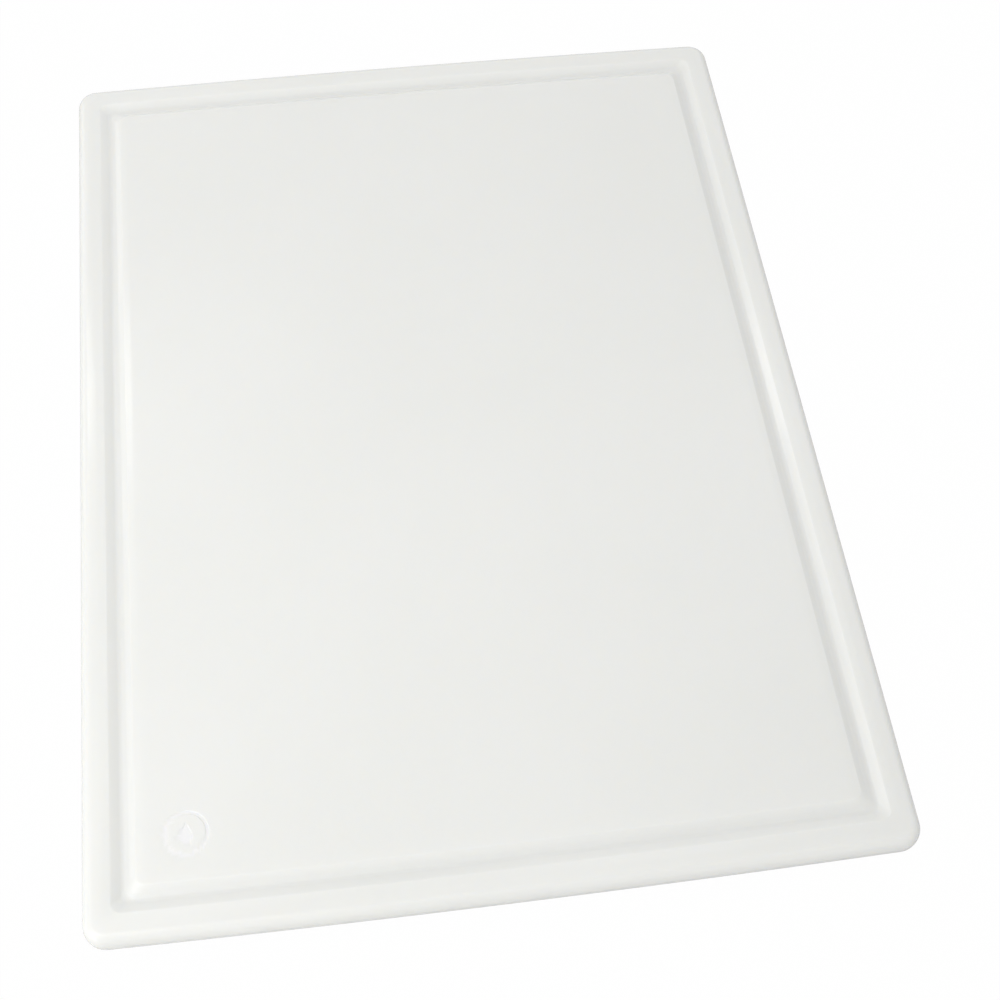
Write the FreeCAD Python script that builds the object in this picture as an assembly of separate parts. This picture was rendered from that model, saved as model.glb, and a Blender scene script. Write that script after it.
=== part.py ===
import FreeCAD, Part
import math
import os

# One-piece moulded cutting board with a juice groove round the cutting field.
# Millimetres.  +Z up, X across the board, Y along the board.
# Origin: centre of the underside, Z = 0 on the resting face.

os.makedirs("parts", exist_ok=True)

# ---------------------------------------------------------------- dimensions
WIDTH = 381.0            # X, short side (15 in)
LENGTH = 508.0           # Y, long side (20 in)
THICK = 12.7             # Z (1/2 in)
CORNER_R = 11.0          # plan radius of the four corners
END_BOW = 1.8            # the short ends are arcs that bulge this much at mid-width

BOTTOM_ROUND = 4.2       # radius of the lower edge
CROWN_RUN = 5.4          # how far the rounded rim reaches in from the edge
CROWN_DROP = 7.0         # how far it falls to the side wall

# Groove section from the rim to the cutting field.  Each bend of the section:
# inset from the board's edge, depth below the face, plan radius at the corners,
# rounding of the bend (0 = left as a crease).
GROOVE = [
    (9.4, 0.0, 5.2, 0.0),       # the rim starts to fall away
    (13.4, 0.27, 4.6, 2.5),     # outer lip
    (17.8, 2.8, 4.7, 2.8),      # foot of the outer wall
    (19.3, 2.8, 4.7, 4.0),      # foot of the inner wall
    (21.6, 2.0, 4.8, 6.0),      # the inner wall steepens
    (24.5, 0.3, 4.9, 2.5),      # inner lip
    (28.0, 0.0, 5.0, 0.0),      # the cutting field is flat from here
]

MARK_X = -143.0          # centre of the moulded emblem on the cutting field
MARK_Y = -207.0
MARK_OUT_R = 10.5        # outer radius of its ring
MARK_RING_W = 1.6
MARK_DROP_R = 3.2        # round end of the droplet inside the ring
MARK_DROP_TIP = 6.6      # distance from the droplet's round centre to its tip
MARK_DEPTH = 0.35

V = FreeCAD.Vector


# ------------------------------------------------------------------- helpers
END_R = ((WIDTH / 2) ** 2 + END_BOW ** 2) / (2 * END_BOW)   # radius of the short ends
END_C = LENGTH / 2 - END_R                                  # centre of the +Y end, on the Y axis


def corner_centre(c):
    """Centre (x, y) of a corner arc that touches the loops' long side and convex
    end when its centre lies c in from the edge, and the angle phi that the end
    arc spans on each side of the Y axis."""
    cx = WIDTH / 2 - c
    phi = math.asin(cx / (END_R - c))
    return cx, END_C + (END_R - c) * math.cos(phi), phi


def loop_wire(inset, r, z):
    """Loop at this inset from the board's outline: two straight long sides, two
    convex ends, four corner arcs of radius r."""
    cx, cy, phi = corner_centre(inset + r)
    turn = math.pi / 2 - phi
    edges = []

    def arc(ox, oy, rad, a0, a1):
        p = [V(ox + rad * math.cos(a), oy + rad * math.sin(a), z) for a in (a0, (a0 + a1) / 2, a1)]
        edges.append(Part.Arc(*p).toShape())
        return p[0], p[2]

    first, end = arc(cx, cy, r, 0.0, turn)
    arc(0.0, END_C, END_R - inset, turn, math.pi - turn)
    a, b = arc(-cx, cy, r, math.pi - turn, math.pi)
    c, d = arc(-cx, -cy, r, math.pi, math.pi + turn)
    edges.append(Part.makeLine(b, c))
    arc(0.0, -END_C, END_R - inset, math.pi + turn, 2 * math.pi - turn)
    e, f = arc(cx, -cy, r, 2 * math.pi - turn, 2 * math.pi)
    edges.append(Part.makeLine(f, first))
    return Part.Wire(Part.__sortEdges__(edges))


def tapered(low, high):
    """Solid between two loops, each (inset, depth, corner radius); low is deeper."""
    return Part.makeLoft([loop_wire(low[0], low[2], THICK - low[1]),
                          loop_wire(high[0], high[2], THICK - high[1])], True, True)


def edge_profile(x_edge, z0=0.0):
    """Section of the board's margin in the XZ plane, from the outer edge
    inward as far as the corner centre.  x_edge is the outer X."""
    c = x_edge - CORNER_R                 # corner centre
    r = BOTTOM_ROUND
    s = math.sqrt(0.5)
    p_axis0 = V(c, 0, 0)
    p_b = V(x_edge - r, 0, 0)
    p_bm = V(x_edge - r + r * s, 0, r - r * s)
    p_s0 = V(x_edge, 0, r)
    p_s1 = V(x_edge, 0, THICK - CROWN_DROP)
    p_t = V(x_edge - CROWN_RUN, 0, THICK)
    p_axis1 = V(c, 0, THICK)
    # quarter ellipse from the side wall up on to the rim
    centre = V(x_edge - CROWN_RUN, 0, THICK - CROWN_DROP)
    ell = Part.Ellipse(centre + V(0, 0, CROWN_DROP), centre + V(CROWN_RUN, 0, 0), centre)
    u1 = ell.parameter(p_s1)
    u2 = ell.parameter(p_t)
    if u2 < u1:
        u1, u2 = u2, u1
    arc = ell.toShape(u1, u2)
    edges = [Part.makeLine(p_axis0, p_b),
             Part.Arc(p_b, p_bm, p_s0).toShape(),
             Part.makeLine(p_s0, p_s1),
             arc,
             Part.makeLine(p_t, p_axis1),
             Part.makeLine(p_axis1, p_axis0)]
    return Part.Face(Part.Wire(Part.__sortEdges__(edges)))


# ---------------------------------------------------------------- blank slab
def slab():
    r = CORNER_R
    cx, cy, phi = corner_centre(r)
    turn = 90.0 - math.degrees(phi)
    up = V(0, 0, 1)
    # core: everything inside the corner centres
    rin = END_R - r
    p1, p2, p3, p4 = V(cx, -cy, 0), V(cx, cy, 0), V(-cx, cy, 0), V(-cx, -cy, 0)
    core = Part.Face(Part.Wire([Part.makeLine(p1, p2),
                                Part.Arc(p2, V(0, END_C + rin, 0), p3).toShape(),
                                Part.makeLine(p3, p4),
                                Part.Arc(p4, V(0, -END_C - rin, 0), p1).toShape()])).extrude(V(0, 0, THICK))
    bits = [core]
    # margins along the long sides (+X and -X)
    f = edge_profile(WIDTH / 2)
    f.translate(V(0, -cy, 0))
    bits.append(f.extrude(V(0, 2 * cy, 0)))
    # margins along the convex ends, turned about the end arc's centre
    f = edge_profile(END_R)
    f.rotate(V(0, 0, 0), up, 90.0 - math.degrees(phi))
    f.translate(V(0, END_C, 0))
    bits.append(f.revolve(V(0, END_C, 0), up, 2 * math.degrees(phi)))
    # corners
    for sy in (1, -1):
        f = edge_profile(WIDTH / 2)
        f.translate(V(0, sy * cy, 0))
        bits.append(f.revolve(V(cx, sy * cy, 0), up, sy * turn))
    for b in bits[1:]:
        m = b.copy()
        m.rotate(V(0, 0, 0), up, 180)
        bits.append(m)
    out = bits[0].multiFuse(bits[1:])
    return out.removeSplitter()


# -------------------------------------------------------------- juice groove
def groove(body):
    lift = 0.5                                   # the cutter stands proud of the face
    a, b, c, d, e, f, g = [p[:3] for p in GROOVE]
    pocket = tapered(a, (a[0], -lift, a[2])).multiFuse([tapered(b, a), tapered(c, b)])
    island = tapered(g, (g[0], -lift, g[2])).multiFuse([tapered(f, g), tapered(e, f), tapered(d, e)])
    return body.cut(pocket.cut(island))


def loop_edges(shape, inset, z, tol=0.04):
    """Edges of the loop at this inset and height."""
    out = []
    for e in shape.Edges:
        ps = [e.valueAt(e.FirstParameter + (e.LastParameter - e.FirstParameter) * t) for t in (0.03, 0.5, 0.97)]
        if max(abs(p.z - z) for p in ps) > tol:
            continue
        if all(abs(WIDTH / 2 - abs(p.x) - inset) < tol for p in ps) or \
                all(abs(END_R - math.hypot(p.x, abs(p.y) - END_C) - inset) < tol for p in ps):
            out.append(e)
            continue
        # corner arcs: both ends lie on the side or on the end of the loop
        if all(min(abs(WIDTH / 2 - abs(q.x) - inset),
                   abs(END_R - math.hypot(q.x, abs(q.y) - END_C) - inset)) < 0.2 for q in (ps[0], ps[2])):
            out.append(e)
    return out


def round_groove(body):
    for inset, depth, _, r in GROOVE:
        if not r:
            continue
        es = loop_edges(body, inset, THICK - depth)
        if len(es) != 8:
            raise RuntimeError("groove loop at inset %.2f has %d edges" % (inset, len(es)))
        body = body.makeFillet(r, es)
    return body


# ------------------------------------------------------------ moulded emblem
def emblem():
    """A plain ring with a droplet inside, sunk a little into the field."""
    z = THICK - MARK_DEPTH
    h = MARK_DEPTH + 0.5
    ring = Part.makeCylinder(MARK_OUT_R, h, V(MARK_X, MARK_Y, z))
    ring = ring.cut(Part.makeCylinder(MARK_OUT_R - MARK_RING_W, h, V(MARK_X, MARK_Y, z)))
    # droplet: an arc closed by the two tangents that meet at the tip
    r, d = MARK_DROP_R, MARK_DROP_TIP
    cy = MARK_Y - 1.6
    a = math.acos(r / d)                         # tangent point angle from the axis
    pt = V(MARK_X, cy + d, z)
    pl = V(MARK_X - r * math.sin(a), cy + r * math.cos(a), z)
    pr = V(MARK_X + r * math.sin(a), cy + r * math.cos(a), z)
    pb = V(MARK_X, cy - r, z)
    wire = Part.Wire([Part.Arc(pl, pb, pr).toShape(), Part.makeLine(pr, pt), Part.makeLine(pt, pl)])
    drop = Part.Face(wire).extrude(V(0, 0, h))
    return ring, drop


board = slab()
board = groove(board)
board = round_groove(board)
for sunk in emblem():
    board = board.cut(sunk)

if board.ShapeType != "Solid":
    board = board.Solids[0]
assert board.isValid() and board.Volume > 0
print("board volume cm3", board.Volume / 1000.0, "box", board.BoundBox, "faces", len(board.Faces))
board.exportStep("parts/board.step")
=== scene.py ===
import math

import bpy
import numpy as np
from mathutils import Matrix, Vector


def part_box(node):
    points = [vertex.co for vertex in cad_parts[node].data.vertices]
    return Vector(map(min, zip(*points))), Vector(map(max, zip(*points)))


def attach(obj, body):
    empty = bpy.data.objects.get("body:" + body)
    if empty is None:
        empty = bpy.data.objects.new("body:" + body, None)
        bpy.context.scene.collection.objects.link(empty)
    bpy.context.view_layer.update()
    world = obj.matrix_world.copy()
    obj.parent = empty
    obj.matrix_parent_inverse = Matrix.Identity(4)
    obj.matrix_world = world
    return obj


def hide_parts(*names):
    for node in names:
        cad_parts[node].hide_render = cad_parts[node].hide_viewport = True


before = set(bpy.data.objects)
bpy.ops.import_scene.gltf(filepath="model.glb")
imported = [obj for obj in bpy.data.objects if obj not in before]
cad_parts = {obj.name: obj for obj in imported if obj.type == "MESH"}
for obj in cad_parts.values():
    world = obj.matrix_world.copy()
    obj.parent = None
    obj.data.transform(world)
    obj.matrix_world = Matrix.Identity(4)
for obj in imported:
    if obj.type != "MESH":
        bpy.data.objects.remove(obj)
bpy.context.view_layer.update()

# ---------------------------------------------------------------- dimensions (metres)
LO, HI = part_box("board")
W = HI.x - LO.x
L = HI.y - LO.y
T = HI.z - LO.z
MM = 0.001

CORNER_R = 11.0 * MM
END_BOW = 1.8 * MM                       # how far the short ends bulge at mid-width
END_R = ((W / 2) ** 2 + END_BOW ** 2) / (2 * END_BOW)
BOTTOM_ROUND = 4.2 * MM
CROWN_RUN = 5.4 * MM
CROWN_DROP = 7.0 * MM
# groove section in mm: inset, depth, plan corner radius, rounding of the bend
GROOVE = [(9.4, 0.0, 5.2, 25.0), (13.4, 0.27, 4.6, 1.6), (17.8, 2.8, 4.7, 2.8), (19.3, 2.8, 4.7, 4.0),
          (21.6, 2.0, 4.8, 6.0), (24.5, 0.3, 4.9, 1.6), (28.0, 0.0, 5.0, 25.0)]
FIELD_EDGE = 24.5 * MM

MARK = Vector((-143.0 * MM, -207.0 * MM))
MARK_OUT_R = 10.5 * MM
MARK_RING_W = 1.6 * MM
MARK_DROP_R = 3.2 * MM
MARK_DROP_TIP = 6.6 * MM
MARK_DEPTH = 0.35 * MM

EPS = 0.00001     # a 0.01 mm margin


# ---------------------------------------------------------------- the board's skin
def arc_pts(c, r, a0, a1, n):
    """Points on an arc in the (inset, z) plane, angles in degrees, ends included."""
    return [(c[0] + r * math.cos(math.radians(a0 + (a1 - a0) * i / n)),
             c[1] + r * math.sin(math.radians(a0 + (a1 - a0) * i / n))) for i in range(n + 1)]


def rounded_section(points, n=8):
    """The section's bends as arcs: (inset, z) points along the whole profile."""
    pts = [Vector((p[0] * MM, T - p[1] * MM)) for p in points]
    pts = [pts[0] - Vector((2 * MM, 0))] + pts + [pts[-1] + Vector((2 * MM, 0))]
    out = []
    for i in range(1, len(pts) - 1):
        u = (pts[i - 1] - pts[i]).normalized()
        v = (pts[i + 1] - pts[i]).normalized()
        half = math.acos(max(-1.0, min(1.0, u.dot(v)))) / 2
        r = points[i - 1][3] * MM
        tan = r / math.tan(half)
        centre = pts[i] + (u + v).normalized() * (r / math.sin(half))
        a, b = pts[i] + u * tan - centre, pts[i] + v * tan - centre
        a0, a1 = math.atan2(a.y, a.x), math.atan2(b.y, b.x)
        if a1 - a0 > math.pi:
            a1 -= 2 * math.pi
        if a0 - a1 > math.pi:
            a1 += 2 * math.pi
        for k in range(n + 1):
            t = a0 + (a1 - a0) * k / n
            out.append((centre.x + r * math.cos(t), centre.y + r * math.sin(t)))
    return out


def side_fracs(n, dense=()):
    """Fractions -1..1 along a straight side, with extra lines where `dense` asks for them."""
    base = np.linspace(-1, 1, n + 1)
    for lo, hi, k in dense:
        base = base[(base < lo - 1e-6) | (base > hi + 1e-6)]
        base = np.concatenate([base, np.linspace(lo, hi, k + 1)])
    return np.unique(np.round(base, 7))


NC = 16                                  # segments round a corner (even)
C_GRID = 12.0 * MM                       # corner zone of the inner rectangle
FIELD_IN = 34.0 * MM                     # inset of that rectangle
hx_g = W / 2 - FIELD_IN - C_GRID         # straight half lengths on the grid
hy_g = L / 2 - FIELD_IN - C_GRID
m_lo = MARK - Vector((1, 1)) * (MARK_OUT_R + 1.2 * MM)
m_hi = MARK + Vector((1, 1)) * (MARK_OUT_R + 1.2 * MM)
FX = side_fracs(40, [(max(m_lo.x / hx_g, -1.0), m_hi.x / hx_g, 66)])
FY = side_fracs(52, [(max(m_lo.y / hy_g, -1.0), m_hi.y / hy_g, 66)])


def ring(inset, z, r):
    """One loop round the board: straight long sides, gently convex ends, round
    corners of radius r.  The loop runs anticlockwise and starts where the +X side
    meets the +Y corner."""
    c = inset + r
    yc = L / 2 - END_R
    cx = W / 2 - c
    phi = math.asin(cx / (END_R - c))
    cy = yc + (END_R - c) * math.cos(phi)
    turn = math.pi / 2 - phi
    out = []

    def corner(sx, sy, flip):
        for i in range(NC + 1):
            a = turn * ((NC - i) if flip else i) / NC
            out.append((sx * (cx + r * math.cos(a)), sy * (cy + r * math.sin(a)), z))

    def end(sy, fr):
        for f in fr:
            a = f * phi
            out.append(((END_R - inset) * math.sin(a), sy * (yc + (END_R - inset) * math.cos(a)), z))

    hx = W / 2 - inset
    corner(1, 1, False)
    end(1, FX[1:-1][::-1])
    corner(-1, 1, True)
    out.extend((-hx, f * cy, z) for f in FY[1:-1][::-1])
    corner(-1, -1, False)
    end(-1, FX[1:-1])
    corner(1, -1, True)
    out.extend((hx, f * cy, z) for f in FY[1:-1])
    return out


def square_ring(inset, z, c):
    """The same point count on a sharp rectangle: its corner zones are c long."""
    hx, hy = W / 2 - inset, L / 2 - inset
    sx, sy = hx - c, hy - c
    h = NC // 2
    out = []
    def corner(px, py, ax, ay, bx, by):
        # from (ax, ay) to the sharp corner (px, py) to (bx, by)
        for i in range(h):
            f = i / h
            out.append((ax + (px - ax) * f, ay + (py - ay) * f, z))
        for i in range(h + 1):
            f = i / h
            out.append((px + (bx - px) * f, py + (by - py) * f, z))
    corner(hx, hy, hx, sy, sx, hy)
    out.extend((f * sx, hy, z) for f in FX[1:-1][::-1])
    corner(-hx, hy, -sx, hy, -hx, sy)
    out.extend((-hx, f * sy, z) for f in FY[1:-1][::-1])
    corner(-hx, -hy, -hx, -sy, -sx, -hy)
    out.extend((f * sx, -hy, z) for f in FX[1:-1])
    corner(hx, -hy, sx, -hy, hx, -sy)
    out.extend((hx, f * sy, z) for f in FY[1:-1])
    return out


def lerp_ring(a, b, f):
    return [tuple(p[k] + (q[k] - p[k]) * f for k in range(3)) for p, q in zip(a, b)]


def smooth(e0, e1, x):
    t = np.clip((x - e0) / (e1 - e0), 0, 1)
    return t * t * (3 - 2 * t)


def mark_mask(x, y):
    """1 inside the sunk ring and droplet, 0 outside, with short ramps (metres in)."""
    dx, dy = x - MARK.x, y - MARK.y
    rr = np.hypot(dx, dy)
    ramp = 0.35 * MM
    d_ring = np.abs(rr - (MARK_OUT_R - MARK_RING_W / 2)) - MARK_RING_W / 2
    # droplet: circle joined to its tip by two tangents
    cy = -1.6 * MM
    qx, qy = np.abs(dx), dy - cy
    r, d = MARK_DROP_R, MARK_DROP_TIP
    a = math.acos(r / d)
    nx, ny = math.sin(a), math.cos(a)              # outward normal of the right tangent
    d_circle = np.hypot(qx, qy) - r
    d_tan = qx * nx + qy * ny - r
    t_along = -(qx * ny) + qy * nx                 # along the tangent, from the touching point
    d_drop = np.where(t_along > 0, d_tan, d_circle)
    past = t_along > math.sqrt(d * d - r * r)
    d_drop = np.where(past, np.hypot(qx, qy - d), d_drop)
    dist = np.minimum(d_ring, d_drop)
    return 1 - smooth(-ramp / 2, ramp / 2, dist)


def build_board():
    z1 = T
    rings = []                                     # from the underside's rim to the cutting field
    # lower rounding
    for s, z in [(BOTTOM_ROUND - BOTTOM_ROUND * math.sin(a), BOTTOM_ROUND - BOTTOM_ROUND * math.cos(a))
                 for a in np.linspace(0, math.pi / 2, 13)]:
        rings.append((s, z, CORNER_R - s))
    zs = T - CROWN_DROP
    for f in (0.5,):
        rings.append((0.0, BOTTOM_ROUND + (zs - BOTTOM_ROUND) * f, CORNER_R))
    # crowned rim
    for a in np.linspace(0, math.pi / 2, 21):
        s = CROWN_RUN - CROWN_RUN * math.cos(a)
        rings.append((s, zs + CROWN_DROP * math.sin(a), CORNER_R - s))
    # groove, its corner radius falling evenly from one bend to the next
    section = rounded_section(GROOVE)
    at = [p[0] * MM for p in GROOVE]
    rad = [p[2] * MM for p in GROOVE]
    for k, (s, z) in enumerate(section):
        if k == 0 or s - rings[-1][0] > 0.005 * MM:
            rings.append((s, z, float(np.interp(s, [CROWN_RUN] + at, [CORNER_R - CROWN_RUN] + rad))))
    loops = [ring(*r) for r in rings]
    # into the flat field
    last = loops[-1]
    sq = square_ring(FIELD_IN, z1, C_GRID)
    for f in (0.1, 0.25, 0.4, 0.55, 0.7, 0.85, 1.0):
        loops.append(lerp_ring(last, sq, f))
    # under the board
    first = loops[0]
    sqb = square_ring(FIELD_IN, 0.0, C_GRID)
    below = [lerp_ring(first, sqb, f) for f in (1.0, 0.6, 0.3, 0.1)]
    loops = below + loops

    verts, faces = [], []
    n = len(loops[0])
    for lp in loops:
        verts.extend(lp)
    for k in range(len(loops) - 1):
        a, b = k * n, (k + 1) * n
        for i in range(n):
            j = (i + 1) % n
            faces.append((a + i, a + j, b + j, b + i))

    # tensor grids that close the field and the underside
    def grid(loop_start, up):
        hx, hy = W / 2 - FIELD_IN, L / 2 - FIELD_IN
        h = NC // 2
        gx = np.concatenate([-hx + C_GRID * np.arange(h) / h, FX * (hx - C_GRID), hx - C_GRID + C_GRID * np.arange(1, h + 1) / h])
        gy = np.concatenate([-hy + C_GRID * np.arange(h) / h, FY * (hy - C_GRID), hy - C_GRID + C_GRID * np.arange(1, h + 1) / h])
        nx, ny = len(gx), len(gy)
        index = -np.ones((nx, ny), int)
        # walk the boundary in the loop's own order: it starts at (hx, sy) going up
        order = []
        iy = ny - 1 - h
        order += [(nx - 1, j) for j in range(iy, ny)]
        order += [(i, ny - 1) for i in range(nx - 2, -1, -1)]
        order += [(0, j) for j in range(ny - 2, -1, -1)]
        order += [(i, 0) for i in range(1, nx)]
        order += [(nx - 1, j) for j in range(1, iy)]
        assert len(order) == n, (len(order), n)
        for k, (i, j) in enumerate(order):
            index[i, j] = loop_start + k
        z = T if up else 0.0
        for i in range(1, nx - 1):
            for j in range(1, ny - 1):
                index[i, j] = len(verts)
                verts.append((gx[i], gy[j], z))
        for i in range(nx - 1):
            for j in range(ny - 1):
                q = (index[i, j], index[i + 1, j], index[i + 1, j + 1], index[i, j + 1])
                faces.append(q if up else q[::-1])

    grid((len(loops) - 1) * n, True)
    grid(0, False)
    co = np.array(verts)
    on_field = co[:, 2] > T - 1e-7
    co[on_field, 2] -= MARK_DEPTH * mark_mask(co[on_field, 0], co[on_field, 1])
    me = bpy.data.meshes.new("board_skin")
    me.from_pydata([tuple(v) for v in co], [], faces)
    me.validate()
    me.polygons.foreach_set("use_smooth", [True] * len(me.polygons))
    f_in = np.minimum(W / 2 - np.abs(co[:, 0]), L / 2 - np.abs(co[:, 1]))
    field = smooth(FIELD_EDGE, FIELD_EDGE + 9.0 * MM, f_in) * (co[:, 2] > T / 2)
    field = np.maximum(field, smooth(BOTTOM_ROUND, BOTTOM_ROUND + 6.0 * MM, f_in) * (co[:, 2] < 1e-6))
    me.attributes.new("field", "FLOAT", "POINT").data.foreach_set("value", field.astype(np.float32))
    mk = np.zeros(len(co))
    mk[on_field] = mark_mask(co[on_field, 0], co[on_field, 1])
    me.attributes.new("mark", "FLOAT", "POINT").data.foreach_set("value", mk.astype(np.float32))
    me.update()
    ob = bpy.data.objects.new("board_skin", me)
    bpy.context.scene.collection.objects.link(ob)
    return ob


board = build_board()
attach(board, "root")
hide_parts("board")

# ---------------------------------------------------------------- material
def node(nt, kind, **kw):
    n = nt.nodes.new(kind)
    for k, v in kw.items():
        setattr(n, k, v)
    return n


def math_node(nt, op, a, b=None, clamp=False):
    n = node(nt, "ShaderNodeMath", operation=op, use_clamp=clamp)
    for i, v in enumerate((a, b)):
        if v is None:
            continue
        if isinstance(v, (int, float)):
            n.inputs[i].default_value = v
        else:
            nt.links.new(v, n.inputs[i])
    return n.outputs[0]


def noise(nt, vec, scale, detail=2.0, rough=0.5, dist=0.0):
    n = node(nt, "ShaderNodeTexNoise")
    n.inputs["Scale"].default_value = scale
    n.inputs["Detail"].default_value = detail
    n.inputs["Roughness"].default_value = rough
    n.inputs["Distortion"].default_value = dist
    nt.links.new(vec, n.inputs["Vector"])
    return n.outputs["Fac"]


def mapped(nt, vec, scale=(1, 1, 1), rot=(0, 0, 0), loc=(0, 0, 0)):
    n = node(nt, "ShaderNodeMapping")
    n.inputs["Scale"].default_value = scale
    n.inputs["Rotation"].default_value = rot
    n.inputs["Location"].default_value = loc
    nt.links.new(vec, n.inputs["Vector"])
    return n.outputs[0]


def ramp(nt, fac, stops):
    n = node(nt, "ShaderNodeValToRGB")
    el = n.color_ramp.elements
    while len(el) > 1:
        el.remove(el[-1])
    el[0].position, el[0].color = stops[0][0], stops[0][1]
    for p, c in stops[1:]:
        e = el.new(p)
        e.color = c
    nt.links.new(fac, n.inputs["Fac"])
    return n.outputs["Color"]


def grey(v):
    return (v, v, v, 1)


mat = bpy.data.materials.new("white_polyethylene")
mat.use_nodes = True
nt = mat.node_tree
bsdf = nt.nodes["Principled BSDF"]
bsdf.inputs["IOR"].default_value = 1.51
bsdf.inputs["Subsurface Weight"].default_value = 0.8
bsdf.inputs["Subsurface Radius"].default_value = (1.0, 0.95, 0.85)
bsdf.inputs["Subsurface Scale"].default_value = 0.004
co = node(nt, "ShaderNodeTexCoord").outputs["Object"]
field = node(nt, "ShaderNodeAttribute", attribute_name="field").outputs["Fac"]
mark = node(nt, "ShaderNodeAttribute", attribute_name="mark").outputs["Fac"]

# colour: cloudy pigment, a touch warm, a little whiter in the sunk mark
cloud = noise(nt, co, 9.0, 3.0, 0.55)
speck = noise(nt, co, 420.0, 2.0, 0.6)
tone = math_node(nt, "ADD", math_node(nt, "MULTIPLY", cloud, 0.8), math_node(nt, "MULTIPLY", speck, 0.2))
base = ramp(nt, tone, [(0.25, (0.862, 0.867, 0.840, 1)), (0.75, (0.882, 0.886, 0.863, 1))])
mix = node(nt, "ShaderNodeMix", data_type="RGBA")
nt.links.new(mark, mix.inputs["Factor"])
nt.links.new(base, mix.inputs["A"])
mix.inputs["B"].default_value = (0.93, 0.93, 0.925, 1)
nt.links.new(mix.outputs["Result"], bsdf.inputs["Base Color"])

# roughness: satin field, smoother rim and groove, with uneven patches
patch = noise(nt, co, 28.0, 4.0, 0.6)
r_field = math_node(nt, "MULTIPLY", field, 0.105)
r_patch = math_node(nt, "MULTIPLY", math_node(nt, "SUBTRACT", patch, 0.5), 0.02)
rough = math_node(nt, "ADD", math_node(nt, "ADD", r_field, r_patch), 0.14)
nt.links.new(rough, bsdf.inputs["Roughness"])

# relief: pebbled cutting field, long shallow waves of a moulded sheet
pebble = noise(nt, co, 1500.0, 1.5, 0.5)
b1 = node(nt, "ShaderNodeBump")
b1.inputs["Distance"].default_value = 0.00005
nt.links.new(math_node(nt, "ADD", math_node(nt, "MULTIPLY", field, 0.5), 0.12), b1.inputs["Strength"])
nt.links.new(pebble, b1.inputs["Height"])
wave = noise(nt, mapped(nt, co, scale=(1.0, 0.7, 1.0)), 14.0, 1.0, 0.4)
b2 = node(nt, "ShaderNodeBump")
b2.inputs["Distance"].default_value = 0.0001
b2.inputs["Strength"].default_value = 0.5
nt.links.new(wave, b2.inputs["Height"])
nt.links.new(b1.outputs["Normal"], b2.inputs["Normal"])
nt.links.new(b2.outputs["Normal"], bsdf.inputs["Normal"])
board.data.materials.append(mat)

# ---------------------------------------------------------------- floor, camera, lights
fm = bpy.data.meshes.new("floor")
fm.from_pydata([(-6, -6, 0), (6, -6, 0), (6, 6, 0), (-6, 6, 0)], [], [(0, 1, 2, 3)])
floor = bpy.data.objects.new("floor", fm)
floor.location = (0, 0, -0.00002)
bpy.context.scene.collection.objects.link(floor)
fmat = bpy.data.materials.new("floor")
fmat.use_nodes = True
fnt = fmat.node_tree
fb = fnt.nodes["Principled BSDF"]
fb.inputs["Base Color"].default_value = (0.70, 0.70, 0.70, 1)
fb.inputs["Roughness"].default_value = 0.8
fe = fnt.nodes.new("ShaderNodeEmission")
fe.inputs["Strength"].default_value = 1.0
fl = fnt.nodes.new("ShaderNodeLightPath")
fmix = fnt.nodes.new("ShaderNodeMixShader")
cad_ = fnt.nodes.new("ShaderNodeMath")
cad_.operation = "MULTIPLY"
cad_.inputs[1].default_value = 0.99
fnt.links.new(fl.outputs["Is Camera Ray"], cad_.inputs[0])
fnt.links.new(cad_.outputs[0], fmix.inputs[0])
fnt.links.new(fb.outputs[0], fmix.inputs[1])
fnt.links.new(fe.outputs[0], fmix.inputs[2])
fnt.links.new(fmix.outputs[0], fnt.nodes["Material Output"].inputs["Surface"])
floor.data.materials.append(fmat)

cam_data = bpy.data.cameras.new("camera")
cam = bpy.data.objects.new("camera", cam_data)
bpy.context.scene.collection.objects.link(cam)
bpy.context.scene.camera = cam
# rows: the camera's right, up and back axes in the board's frame
CAM = {"pos": (-0.05648, -0.415228, 0.67661), "right": (0.99164304, -0.12721836, 0.02143761), "up": (0.10085296, 0.86804757, 0.4861297),
       "back": (-0.08045349, -0.47990509, 0.87362368), "lens": 53.7963, "shift": (0.03323, -0.00144)}
m = Matrix([[CAM["right"][i], CAM["up"][i], CAM["back"][i], CAM["pos"][i]] for i in range(3)] + [[0, 0, 0, 1]])
cam.matrix_world = m
cam_data.sensor_width = 36.0
cam_data.lens = CAM["lens"]
cam_data.shift_x, cam_data.shift_y = CAM["shift"]
cam_data.clip_start, cam_data.clip_end = 0.05, 20.0

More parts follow.
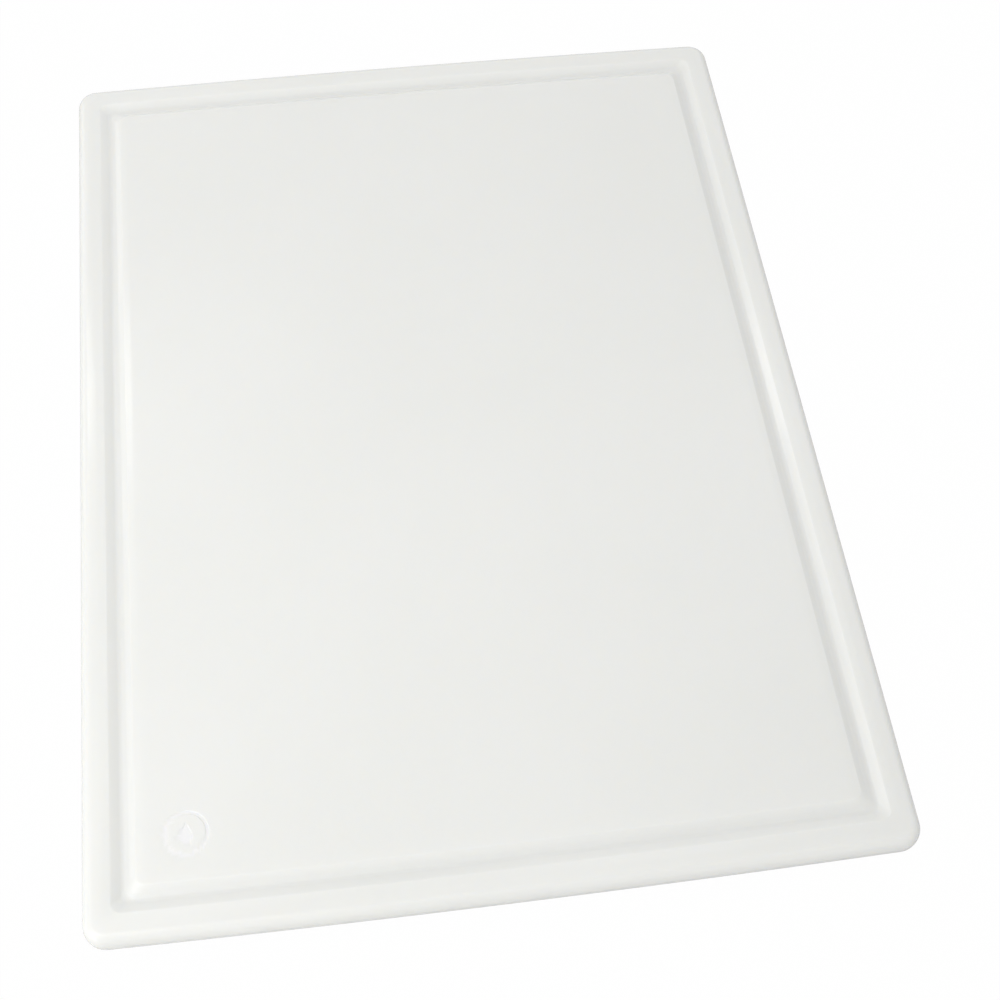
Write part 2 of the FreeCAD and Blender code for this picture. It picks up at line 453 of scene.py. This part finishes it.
world = bpy.data.worlds.new("studio")
bpy.context.scene.world = world
world.use_nodes = True
world.node_tree.nodes["Background"].inputs["Color"].default_value = (1, 1, 1, 1)
world.node_tree.nodes["Background"].inputs["Strength"].default_value = 0.5980


def softbox(name, azimuth, elevation, size, watts, distance=1.1):
    """A square softbox aimed at the board.  Azimuth 0 is +X and 90 is +Y."""
    a, e = math.radians(azimuth), math.radians(elevation)
    d = Vector((math.cos(a) * math.cos(e), math.sin(a) * math.cos(e), math.sin(e)))
    data = bpy.data.lights.new(name, "AREA")
    data.shape = "SQUARE"
    data.size = size
    data.energy = watts
    ob = bpy.data.objects.new(name, data)
    bpy.context.scene.collection.objects.link(ob)
    ob.location = d * distance
    ob.rotation_mode = "QUATERNION"
    ob.rotation_quaternion = (-d).to_track_quat("-Z", "Y")
    ob.visible_camera = False
    return ob


for i, (az, el, size, watts) in enumerate([
        (120, 64, 0.50, 0.424), (225, 46, 0.50, 0.541), (180, 64, 0.50, 0.444), (60, 64, 0.50, 0.325),
        (0, 85, 0.50, 0.227), (216, 10, 0.50, 1.189), (240, 64, 0.50, 0.232), (180, 46, 0.50, 0.294),
        (215, 60, 0.16, 0.179), (135, 46, 0.50, 0.221), (45, 46, 0.50, 0.201), (200, 60, 0.16, 0.166),
        (200, 48, 0.16, 0.192), (215, 48, 0.16, 0.184), (270, 46, 0.50, 0.158), (72, 28, 0.50, 0.192),
        (215, 36, 0.16, 0.147), (230, 60, 0.16, 0.098), (200, 36, 0.16, 0.144), (125, 48, 0.16, 0.190),
        (230, 48, 0.16, 0.101), (252, 28, 0.50, 0.145), (90, 46, 0.50, 0.077), (144, 10, 0.50, 0.423),
        (230, 36, 0.16, 0.100), (245, 36, 0.16, 0.095), (216, 28, 0.50, 0.116), (245, 48, 0.16, 0.068),
        (108, 28, 0.50, 0.110), (252, 10, 0.50, 0.268), (288, 10, 0.50, 0.223), (324, 10, 0.50, 0.206),
        (180, 10, 0.50, 0.211)]):
    softbox("softbox_%02d" % i, az, el, size, watts)

sc = bpy.context.scene
sc.view_settings.view_transform = "Standard"
